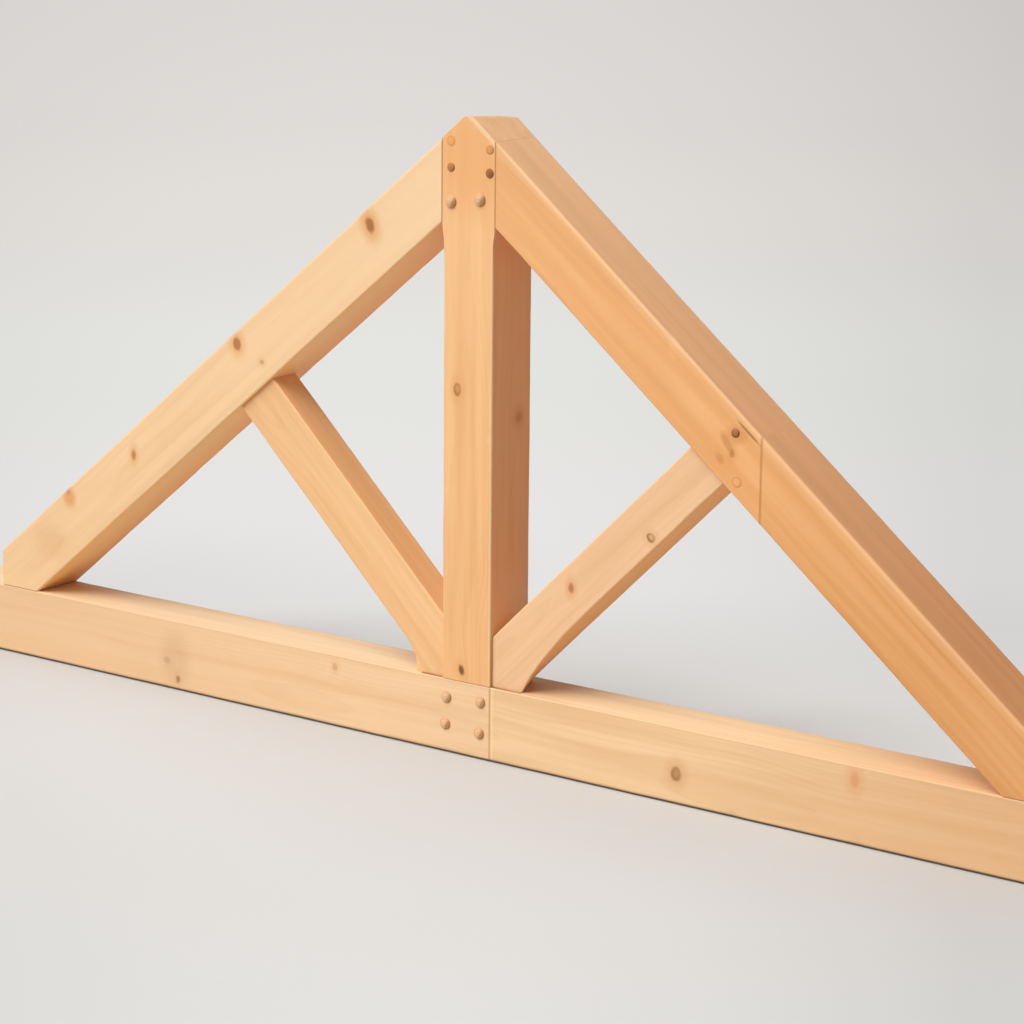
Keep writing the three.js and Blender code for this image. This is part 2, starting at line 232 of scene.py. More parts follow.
def kinks(planes, centre, angle, depth):
    """Heights within the section at which two cuts of one end cross each other."""
    zero, one = (
        [cut_at([plane], centre, angle, np.array([height]), True)[0] for plane in planes]
        for height in (0.0, 1.0))
    heights = []
    for a in range(len(planes)):
        for b in range(a + 1, len(planes)):
            slope = (one[a] - zero[a]) - (one[b] - zero[b])
            if abs(slope) > 1e-9:
                heights.append((zero[b] - zero[a]) / slope)
    return [h for h in heights if abs(h) < depth / 2 - 4 * MM]


SUPPORT = 1.6 * MM  # from an eased edge to the line that holds the shading beside it


def section_lines(width, depth, largest, folds, rows):
    """Heights and shares of the width at which a section has points.

    The heights follow the largest arris as a quarter circle at both edges and lie about 12 mm
    apart between, with three close lines where two cuts fold the end.
    """
    arc = largest * (1 - np.cos(np.linspace(0, QUARTER, 7)))
    flat = depth / 2 - largest - SUPPORT
    side = np.linspace(-flat, flat, max(9, int(2 * flat / (12 * MM))))
    for fold in folds:
        side = side[np.abs(side - fold) > 2.5 * MM]
    close = [fold + beside * MM for fold in folds for beside in (-1.2, 0, 1.2)]
    up = np.concatenate([arc - depth / 2, depth / 2 - arc, side, close, rows])
    reach = 2 * SUPPORT / width
    across = np.concatenate([[-1, -1 + reach], np.linspace(-0.85, 0.85, 9), [1 - reach, 1]])
    return np.unique(np.round(up, 7)), across


def section_rim(tall, broad):
    """Which points of an outline are the rim of the grid of tall by broad points that fills it."""
    rim = np.empty((tall, broad), int)
    rim[0] = np.arange(broad)
    rim[1:-1, -1] = broad + np.arange(tall - 2)
    rim[-1, ::-1] = broad + tall - 2 + np.arange(broad)
    rim[-2:0:-1, 0] = 2 * broad + tall - 2 + np.arange(tall - 2)
    return rim


def planed_timber(
        name, centre, angle, width, depth, near, far, radii, seams,
        ease=(1.0, 1.0), step=18 * MM, rows=(), crisp=None, pared=None):
    """One squared timber: its rounded section carried along its axis between two cut ends.

    P(i, j) = centre + t(i, j) * along + y(i, j) * across + v(i) * up. The outline (y, v) has four
    eased corners whose radii, in millimetres, wander along the timber; t goes from one end's cuts
    to the other's at each height v. The end faces are grids on the cut planes that share the last
    outlines. seams is how dark each end's joint is, ease the radius in millimetres of the quarter
    circle by which the edge of its cuts is eased, step the distance between outlines, rows heights
    at which the grid has a line more, crisp how far from each end the arrises stay crisp, and
    pared moves all the points at last.
    """
    ends = ((near, False), (far, True))

    def cut(v):
        return [cut_at(planes, centre, angle, v, at_far) for planes, at_far in ends]

    def place(t, y, v):
        x = centre[0] + t * math.cos(angle) - v * math.sin(angle)
        z = centre[2] + t * math.sin(angle) + v * math.cos(angle)
        return np.stack([x, centre[1] + y, z], -1).reshape(-1, 3)

    folds = [fold for planes, _ in ends for fold in kinks(planes, centre, angle, depth)]
    up, across = section_lines(width, depth, max(radii) * MM * 1.2, folds, rows)

    # Stations: the eased edge, a line that holds the shading, and then one outline a step.
    eases = np.array(ease) * MM
    turn = np.linspace(0, QUARTER, 4)
    edge = [np.append(e * (1 - np.cos(turn)), e + SUPPORT) for e in eases]
    start, stop = (float(t[0]) for t in cut(np.zeros(1)))
    length = stop - start
    count = int(length / step)
    share = np.linspace(0, 1, count + 2)[1:-1]
    brow = len(turn) + 1
    stations = count + 2 * brow
    middle = edge[0][-1] + share * (length - edge[0][-1] - edge[1][-1])
    t_mid = start + np.concatenate([edge[0], middle, length - edge[1][::-1]])

    corner = np.stack([wander(t_mid, r * MM) for r in radii], 1)
    if crisp:
        inside = np.minimum(t_mid - t_mid[0] - crisp[0], t_mid[-1] - t_mid - crisp[1])
        corner = CRISP_ARRIS + (corner - CRISP_ARRIS) * np.clip(inside / CRISP_FADE, 0, 1)[:, None]
    y, v = section_outline(width, depth, across, up, corner)
    ny, nv = outward(y, v)
    eased = np.maximum(np.abs(ny), np.abs(nv)) < 1 - 1e-6
    drawn_in = 1 - np.sin(turn)
    in_by = np.concatenate([
        eases[0] * drawn_in, np.zeros(count + 2), eases[1] * drawn_in[::-1]])[:, None]
    y, v = y - ny * in_by, v - nv * in_by
    t_near, t_far = cut(v)
    from_near = np.concatenate([edge[0], np.full(count + brow, edge[0][-1])])[:, None]
    from_far = np.concatenate([np.full(count + brow, edge[1][-1]), edge[1][::-1]])[:, None]
    blend = np.concatenate([np.zeros(brow), share, np.ones(brow)])[:, None]
    t = (t_near + from_near) * (1 - blend) + (t_far - from_far) * blend

    points, loop = [place(t, y, v)], y.shape[1]
    faces = [band_faces(stations, loop)]
    dark = np.zeros((stations, loop))
    dark[:brow - 1] = seams[0]
    dark[stations - brow + 1:] = seams[1]
    dark = [dark.ravel()]

    # End faces: rows across the section at every height, joined to the last outline.
    rim = section_rim(len(up), len(across))
    total = stations * loop
    inside = (across[1:-1] + 1)[None, :] / 2
    for (planes, at_far), seam in zip(ends, seams):
        inner_y, inner_v = (
            row[rim[1:-1, 0]][:, None] * (1 - inside) + row[rim[1:-1, -1]][:, None] * inside
            for row in ((y[-1], v[-1]) if at_far else (y[0], v[0])))
        inner_t = cut_at(planes, centre, angle, inner_v, at_far)
        points.append(place(inner_t, inner_y, inner_v))
        index = rim + (stations - 1) * loop * at_far
        index[1:-1, 1:-1] = total + np.arange(inner_y.size).reshape(inner_y.shape)
        total += inner_y.size
        quad = np.stack([index[:-1, :-1], index[:-1, 1:], index[1:, 1:], index[1:, :-1]], -1)
        faces.append(quad.reshape(-1, 4)[:, ::1 if at_far else -1])
        dark.append(np.full(inner_y.size, float(seam)))
    points = np.concatenate(points)
    numbers = {
        "eased": np.append(eased.ravel(), np.zeros(total - eased.size)),
        "seam": np.concatenate(dark)}
    return put_mesh(name, points if pared is None else pared(points), faces, numbers)


def plane(x, z, direction, side=1):
    """A cut through (x, z) whose face looks along the direction, mirrored in X for side = -1."""
    return (side * x, z), (side * direction[0], direction[1])


def rafter_centre(side, x):
    """Middle of a rafter's depth over x."""
    return (side * x, 0, ROOF_HEIGHT - ROOF_SLOPE * x - RAFTER_PLUMB / 2)


LEVEL, DOWN, OUT, INWARD = (0, 1), (0, -1), (1, 0), (-1, 0)
SQUARE_TO_ROOF = (math.sin(ROOF_PITCH), math.cos(ROOF_PITCH))
SEAT = plane(0, SEAT_Z, DOWN)


def tie_beams():
    """The tie beam in two lengths that butt in line with the right face of the post."""
    end = TIE_LENGTH / 2
    lengths = (
        ("tie_left", -end, SPLICE_X - HALF_GAP, (2.0, 0.05)),
        ("tie_right", SPLICE_X + HALF_GAP, end, (0.05, 2.0)))
    return [
        planed_timber(
            name, (0, 0, TIE_DEPTH / 2), 0, TIMBER_WIDTH, TIE_DEPTH,
            [plane(near, 0, INWARD)], [plane(far, 0, OUT)], TIE_ARRISES, (0, 0), ease)
        for name, near, far, ease in lengths]


def pare_post(points):
    """Planes the ridge down towards the back, and pares the post's body narrower than its head.

    The ridge: where the head's top, the lower of the roof slopes and the front flat, stands above
    a flat that falls from front to back, the wood is pushed down by the difference, fading to
    nothing 100 mm lower. The body: x moves in by the cheek times a smooth step that ends at the
    rafters' undersides, rigidly near the sides and in proportion within.
    """
    x, y, z = points.T
    crown = np.minimum(ROOF_HEIGHT - ROOF_SLOPE * np.abs(x), RIDGE_TIP)
    fall = ROOF_SLOPE * (RIDGE_FLAT_BACK - RIDGE_FLAT_FRONT) / 2
    flat = RIDGE_TIP - fall * (y / TIMBER_WIDTH + 0.5)
    z = z - np.maximum(crown - flat, 0) * np.clip(1 - (crown - z) / 0.1, 0, 1)
    swell_top = ROOF_HEIGHT - ROOF_SLOPE * HEAD_SIDE_X - RAFTER_PLUMB
    share = np.clip((z - swell_top) / HEAD_SWELL + 1, 0, 1)
    slimmer = HEAD_CHEEK * (1 - share ** 2 * (3 - 2 * share))
    x = x - np.sign(x) * slimmer * np.minimum(np.abs(x) / (HEAD_HALF - 8 * MM), 1)
    return np.stack([x, y, z], -1)


def king_post():
    """The post stands on the tie beam, and its head follows both roof slopes to a small flat."""
    slopes = [plane(0, ROOF_HEIGHT, SQUARE_TO_ROOF, side) for side in (-1, 1)]
    return planed_timber(
        "post", (0, 0, ROOF_HEIGHT / 2), QUARTER, TIMBER_WIDTH, 2 * HEAD_HALF,
        [SEAT], [*slopes, plane(0, RIDGE_TIP, LEVEL)], POST_ARRISES, (0.6, 0), (0.5, 0.4),
        rows=np.arange(-30, 31, 2) * MM, crisp=(-0.06, 0.25), pared=pare_post)


def rafters():
    """The left rafter in one length and the right one in two, plumb-cut at post and heel."""
    middle = HEEL_REACH / 2
    section = (TIMBER_WIDTH, RAFTER_DEPTH)
    left = planed_timber(
        "left_rafter", rafter_centre(-1, middle), ROOF_PITCH, *section,
        [plane(HEEL_REACH, 0, OUT, -1), SEAT], [plane(HEAD_SIDE_X, 0, INWARD, -1)],
        LEFT_RAFTER_ARRISES, (0.8, 1), (1.0, 0.2))
    upper = planed_timber(
        "right_rafter_upper", rafter_centre(1, middle), -ROOF_PITCH, *section,
        [plane(HEAD_SIDE_X, 0, INWARD)], [plane(RAFTER_SPLICE_X - HALF_GAP, 0, OUT)],
        RIGHT_RAFTER_ARRISES, (1, 0), (0.2, 0.05), crisp=(0.0, -0.06))
    lower = planed_timber(
        "right_rafter_lower", rafter_centre(1, middle), -ROOF_PITCH, *section,
        [plane(RAFTER_SPLICE_X + HALF_GAP, 0, INWARD)], [plane(HEEL_REACH, 0, OUT), SEAT],
        RIGHT_RAFTER_ARRISES, (0, 0.8), (0.05, 1.0))
    return left, upper, lower


def strut(name, one):
    """A strut between the foot of the post and the underside of its rafter, set back in the truss.

    Its foot swells out along the tie beam: a point of the lower edge at height h above the seat
    moves out by reach * (1 - h / toe)^power, and points further in move in proportion. A twist
    takes its share off the swelling, from none at the front evenly to all of it at the back.
    """
    side, thickness, ease = one["side"], one["thickness"], 8 * MM
    middle = under_rafter(strut_under(one)) / 2
    height = (strut_top(one) + strut_under(one)) / 2 + STRUT_SLOPE * middle
    setback = STRUT_SETBACK + (thickness - TIMBER_WIDTH) / 2
    under = ROOF_HEIGHT - RAFTER_PLUMB - SHOULDER_GAP / math.cos(ROOF_PITCH)
    foot = [plane(BODY_SIDE_X, 0, INWARD, side), SEAT]
    head = [plane(0, under, SQUARE_TO_ROOF, side)]

    def swell_toe(points):
        x, y, z = points.T
        out = x * side
        share = np.clip(1 - (z - SEAT_Z) / one["toe"], 0, 1.05)
        outer = (z - strut_under(one)) / STRUT_SLOPE - ease
        inner = np.maximum((z - strut_top(one)) / STRUT_SLOPE + ease, BODY_SIDE_X)
        weight = np.clip((out - inner) / (outer - inner), 0, 1)
        backward = np.clip((y - setback) / thickness + 0.5, 0, 1)
        weight = weight * (1 - one["twist"] * backward)
        out = out + STRUT_TOE_REACH * share ** one["power"] * weight
        return np.stack([side * out, y, z], -1)

    return planed_timber(
        name, (side * middle, setback, height), side * STRUT_PITCH, thickness, one["depth"],
        *((foot, head) if side > 0 else (head, foot)), STRUT_ARRISES,
        (0, 0.8) if side > 0 else (0.8, 0), (0.6, 0.6), step=9 * MM, pared=swell_toe)


# ---- pegs

PEG_HEAD_RADIUS = 15 * MM
PEG_SHANK_RADIUS = 11 * MM
PEG_SIDES = 48


def wooden_peg(name, node, size, rise, shade, shaded_side, rim):
    """A turned peg: a low dome in front, a shank through the timber and a chamfered tail.

    A profile of radius against depth is carried round the peg's axis. The dome is a half ellipse
    with a shallow ring groove at 0.6 of its radius and the lathe centre's dimple, and the radius
    shrinks by up to 4 per cent round the head, as a pared edge does. Both poles are single points.
    size and rise scale the head, and shade goes from new, pale wood to darkened wood. The
    attribute painted_shade_and_rim darkens the head: painted shade that grows across it towards its
    right, as far as shaded_side asks, as a proud dome is shaded there, and rim is how much of it
    runs round the edge.
    """
    low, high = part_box(node)
    middle = (Vector(low) + Vector(high)) / 2
    seat, back = -TIMBER_WIDTH / 2 - 0.3 * MM, high[1]
    head, height, shank = PEG_HEAD_RADIUS * size, (seat - low[1]) * rise, PEG_SHANK_RADIUS
    q = np.concatenate([np.linspace(0, 0.86, 18), np.sin(np.linspace(1.06, QUARTER, 7))])
    groove, dimple = 0.10 * np.exp(-((q - 0.6) / 0.09) ** 2), 0.09 * np.exp(-(q / 0.13) ** 2)
    hollow = height * (groove + dimple)
    dome = seat - height * np.sqrt(np.clip(1 - q ** 2, 0, None)) + hollow * (q < 0.95)
    # Radius and depth behind the dome: under the head, down the shank, and round the tail.
    shank_at = np.array([
        (head - 0.3 * MM, seat + 0.2 * MM), (shank, seat + 0.2 * MM), (shank, seat + 2 * MM),
        (shank, back - 3.6 * MM), (shank - 0.5 * MM, back - 2.9 * MM),
        (shank - 3 * MM, back - 0.4 * MM), (shank - 3.6 * MM, back), (0, back)])
    radius = np.append(q * head, shank_at[:, 0])
    depth = np.append(dome, shank_at[:, 1])
    turn = np.arange(PEG_SIDES) * FULL_TURN / PEG_SIDES
    start, spin = rng.uniform(0, FULL_TURN, 2)
    uneven = 1 - 0.012 * (1 + np.sin(2 * turn + start)) - 0.008 * (1 + np.sin(5 * turn - start))
    r = radius[1:-1, None] * uneven
    along = np.repeat(depth[1:-1, None], PEG_SIDES, 1)
    body = np.stack([r * np.cos(turn), along, r * np.sin(turn)], -1).reshape(-1, 3)
    local = np.concatenate([body, [[0, depth[0], 0], [0, depth[-1], 0]]])
    rings = len(radius) - 2
    i = np.arange(PEG_SIDES)
    k = (i + 1) % PEG_SIDES
    last, tip = (rings - 1) * PEG_SIDES, rings * PEG_SIDES
    faces = [
        band_faces(rings, PEG_SIDES),
        np.stack([np.full(PEG_SIDES, tip), k, i], -1),
        np.stack([np.full(PEG_SIDES, tip + 1), last + i, last + k], -1)]
    heart = rng.uniform(-3, 3, 2) * MM
    x, y, z = local.T
    # Painted shade towards the right of the head, and a darker rim.
    toward = np.clip((x * 0.92 - z * 0.39) / head, 0, 1)
    edge = np.clip((np.hypot(x, z) / head - 0.6) / 0.2, 0, 1)
    own = np.stack([
        x * math.cos(spin) - z * math.sin(spin) + heart[0], y + rng.uniform(0, 5),
        x * math.sin(spin) + z * math.cos(spin) + heart[1]], -1)
    return put_mesh(name, local + np.array([middle.x, 0, middle.z]), faces, {
        "heart": own, "shade": np.full(len(local), shade),
        "painted_shade_and_rim": np.maximum(shaded_side * toward, rim * edge)})


# ---- materials

EVEN, SMOOTH = "LINEAR", "SMOOTHSTEP"  # how a ramp changes


def linear(code):
    """An sRGB hex colour as linear red, green, blue and an alpha of one."""
    parts = [int(code[k:k + 2], 16) / 255 for k in (1, 3, 5)]
    return [c / 12.92 if c <= 0.04045 else ((c + 0.055) / 1.055) ** 2.4 for c in parts] + [1]


def add(tree, kind, inputs=(), **settings):
    """Adds a shader node with its settings, and fills its inputs with values or with links.

    kind is the node's type, and behind it the operation if it has one. The inputs come in order,
    or as a dict, and a string is a hex colour. Gives back the node's output, or all of its outputs
    where it doesn't have just one in use.
    """
    kind, _, operation = kind.partition(" ")
    if operation:
        settings["operation"] = operation
    node = tree.nodes.new("ShaderNode" + kind)
    for key, value in settings.items():
        setattr(node, key, value)
    for key, value in inputs.items() if isinstance(inputs, dict) else enumerate(inputs):
        if isinstance(value, bpy.types.NodeSocket):
            tree.links.new(value, node.inputs[key])
        else:
            node.inputs[key].default_value = linear(value) if isinstance(value, str) else value
    used = [socket for socket in node.outputs if socket.enabled]
    return used[0] if len(used) == 1 else node.outputs


def strength(tree, *limits):
    """How strongly something shows: the product of its limits.

    A limit is a socket, a number, or a ramp: how it changes, the socket that it follows, the two
    values between which it changes, and the strength at each of them, 0 and 1 if it gives none.
    """
    amount = None
    for limit in limits:
        if isinstance(limit, tuple):
            limit = add(tree, "MapRange", limit[1:], interpolation_type=limit[0])
        amount = limit if amount is None else add(tree, "Math MULTIPLY", (amount, limit))
    return amount


def coat(tree, under, colour, *limits, blend="MIX"):
    """A colour with another one laid over it, as strongly as its limits let it show."""
    return add(
        tree, "Mix", {"Factor": strength(tree, *limits), "A": under, "B": colour},
        data_type="RGBA", blend_type=blend)


def new_material(name):
    material = bpy.data.materials.new(name)
    material.use_nodes = True
    material.node_tree.nodes.clear()
    return material, material.node_tree


def group_tree(name, inputs, outputs):
    """An empty node group, with the sockets that it is given and those that it fills."""
    tree = bpy.data.node_groups.new(name, "ShaderNodeTree")
    for direction, sockets in (("INPUT", inputs), ("OUTPUT", outputs)):
        for label, kind in sockets.items():
            tree.interface.new_socket(label, in_out=direction, socket_type="NodeSocket" + kind)
    given = tree.nodes.new("NodeGroupInput").outputs
    return tree, given, tree.nodes.new("NodeGroupOutput").inputs


def knot(
        x, y, z, wide, tall, tilt=0, ring=0, dark=1, stain="#a96c36", halo=0.3,
        warm="#e2a062"):
    """One knot or scratch, in millimetres: its middle, the size of its oval, and how it looks.

    tilt leans the oval's long axis to the right of upright, in degrees. ring is 0 for a sound
    brown knot and 1 for a pale one with a dark outline; dark and halo are strengths.
    """
    return {
        "spot": Vector((x, y, z)) * MM, "half": (wide / 2 * MM, tall / 2 * MM),
        "tilt": math.radians(tilt),
        "looks": {"Ring": ring, "Dark": dark, "Stain": stain, "Halo": halo, "Warm": warm}}


def knot_bend_group():
    """How the grain gives way to a knot: it is pushed sideways by a bell about the branch.

    The bell is exp(-0.28 s^2), for s the distance from the branch over the knot's half size, with
    the distance along the grain counted at a third.
    """
    vectors = dict.fromkeys(("Point", "Grain", "Centre", "Branch"), "Vector")
    tree, given, out = group_tree("knot_bend", {**vectors, "Size": "Float"}, {"Grain": "Vector"})
    branch = given["Branch"]
    away = add(tree, "VectorMath SUBTRACT", (given["Point"], given["Centre"]))
    reach = add(tree, "VectorMath DOT_PRODUCT", (away, branch))
    on_axis = add(tree, "VectorMath SCALE", {0: branch, "Scale": reach})
    side = add(tree, "VectorMath SUBTRACT", (away, on_axis))
    long = add(tree, "VectorMath MULTIPLY", (side, (0.34, 1, 1)))
    spread = add(tree, "VectorMath LENGTH", (long,))
    spread = add(tree, "Math DIVIDE", (spread, given["Size"]))
    fall = strength(tree, spread, spread, -0.28)
    bell = add(tree, "Math EXPONENT", (fall,))
    push = strength(tree, bell, -0.72)
    sideways = add(tree, "VectorMath MULTIPLY", (side, (0, 1, 1)))
    shift = add(tree, "VectorMath SCALE", {0: sideways, "Scale": push})
    grain = add(tree, "VectorMath ADD", (given["Grain"], shift))
    tree.links.new(grain, out["Grain"])
    return tree


def knot_stain_group():
    """The colour of one knot over the wood: a branch with an oval section, cut by the faces.

    u and v are the distances along the oval's long and short axes over its half sizes, and r is
    their length, roughened by noise. The stain fills r below 1 with a soft edge; a ringed knot is
    stained only round r = 0.85, and more at its lower right; the halo fades out by r = 3.2.
    Nothing shows on the far side of the pith.
    """
    vectors = dict.fromkeys(("Point", "Centre", "Branch", "Long", "Short"), "Vector")
    tree, given, out = group_tree("knot_stain", {
        "Wood": "Color", **vectors, "Ring": "Float", "Dark": "Float", "Stain": "Color",
        "Halo": "Float", "Warm": "Color"}, {"Wood": "Color"})
    point = given["Point"]
    away = add(tree, "VectorMath SUBTRACT", (point, given["Centre"]))
    u, v = (add(tree, "VectorMath DOT_PRODUCT", (away, given[axis])) for axis in ("Long", "Short"))
    oval = add(tree, "CombineXYZ", (u, v, 0))
    plain = add(tree, "VectorMath LENGTH", (oval,))
    # Knots have ragged edges, with lumps of about 10 mm.
    lumps = add(tree, "TexNoise", {"Vector": point, "Scale": 95, "Detail": 2})["Fac"]
    lump = add(tree, "MapRange", (lumps, 0.3, 0.7, -0.09, 0.09))
    r = add(tree, "Math ADD", (plain, lump))
    core = strength(tree, (SMOOTH, r, 1.25, 0.5))
    gap = add(tree, "Math SUBTRACT", (r, 0.85))
    gap = add(tree, "Math ABSOLUTE", (gap,))
    lean = add(tree, "Math SUBTRACT", (v, u))
    rim = strength(tree, (SMOOTH, gap, 0, 0.5, 1, 0), (EVEN, lean, -1, 1, 0.45, 1))
    fill = add(tree, "Mix", {"Factor": given["Ring"], "A": core, "B": rim})
    from_pith = add(tree, "VectorMath DOT_PRODUCT", (point, given["Branch"]))
    grown = add(tree, "MapRange", (from_pith, 0, 10 * MM))
    wood = coat(
        tree, given["Wood"], given["Warm"], (SMOOTH, r, 0.7, 3.2, 1, 0), given["Halo"], grown)
    wood = coat(tree, wood, given["Stain"], fill, given["Dark"], grown)
    tree.links.new(wood, out["Wood"])
    return tree


def grain_group():
    """Growth rings, streaks and fibres of a log whose pith runs along X.

    The ring number is the distance from the pith, bent by slow noise, over the ring pitch. Each
    ring goes from pale early wood to a darker late line that stops short, as softwood does.
    """
    tree, given, out = group_tree(
        "grain", {"Grain": "Vector", "Pitch": "Float", "Seed": "Float"},
        dict.fromkeys(("Late", "Streak", "Fibre", "Cloud"), "Float"))
    grain, seed = given["Grain"], given["Seed"]

    def drawn_out(stretch, **looks):
        """Noise drawn out along the grain: how often it changes in a metre, each way."""
        at = add(tree, "VectorMath MULTIPLY", (grain, stretch))
        seeded = {"noise_dimensions": "4D"} if "W" in looks else {}
        return add(tree, "TexNoise", {"Vector": at, "Scale": 1, **looks}, **seeded)

    # The log is not straight: it wanders by up to 12 mm over half a metre.
    bend = drawn_out((1.9, 5, 5), W=seed, Detail=1.5)["Color"]
    bend = add(tree, "VectorMath SUBTRACT", (bend, (0.5, 0.5, 0.5)))
    bend = add(tree, "VectorMath MULTIPLY", (bend, (0, 0.05, 0.05)))
    bent = add(tree, "VectorMath ADD", (grain, bend))
    flat = add(tree, "VectorMath MULTIPLY", (bent, (0, 1, 1)))
    radius = add(tree, "VectorMath LENGTH", (flat,))
    # Wet and dry years: the pitch itself varies over a few rings.
    years = add(tree, "TexNoise", {"W": radius, "Scale": 45, "Detail": 2}, noise_dimensions="1D")
    radius = add(tree, "Math ADD", (radius, strength(tree, years["Fac"], 0.022)))
    number = add(tree, "Math DIVIDE", (radius, given["Pitch"]))
    year = add(tree, "Math FRACT", (number,))
    late = strength(tree, (SMOOTH, year, 0.35, 0.88), (SMOOTH, year, 0.9, 1, 1, 0))
    tree.links.new(late, out["Late"])
    # Streaks 15 to 40 mm wide that run half a metre or more. Fibres are a few hundredths of a
    # millimetre wide; drawn 2 mm wide so that they show. Clouds are as large as a hand.
    figures = {
        "Streak": drawn_out((1.3, 34, 34), W=seed, Detail=2.5, Roughness=0.55),
        "Fibre": drawn_out((9, 420, 420), Detail=3, Roughness=0.6),
        "Cloud": drawn_out((3, 7, 7), W=seed, Detail=2)}
    for name, figure in figures.items():
        tree.links.new(figure["Fac"], out[name])
    return tree


KNOT_BEND = knot_bend_group()
KNOT_STAIN = knot_stain_group()
GRAIN = grain_group()


def knotty_grain(tree, own, to_log, pith, knots):
    """The grain of a log bent round its knots, and what the stain of each knot takes."""
    grain, stains = own, []
    for one in knots:
        spot = to_log @ (one["spot"] - pith)
        branch = Vector((0, spot.y, spot.z)).normalized()
        upright = to_log @ Vector((math.sin(one["tilt"]), 0, math.cos(one["tilt"])))
        long = (upright - branch * upright.dot(branch)).normalized()
        short = branch.cross(long)
        half_wide, half_tall = one["half"]
        if one["looks"]["Dark"] > 0.3 and half_tall < 3 * half_wide:
            grain = add(tree, "Group", node_tree=KNOT_BEND, inputs={
                "Point": own, "Grain": grain, "Centre": spot, "Branch": branch,
                "Size": (half_wide + half_tall) / 2})
        stains.append({
            "Point": own, "Centre": spot, "Branch": branch, "Long": long / half_tall,
            "Short": short / half_wide, **one["looks"]})
    return grain, stains


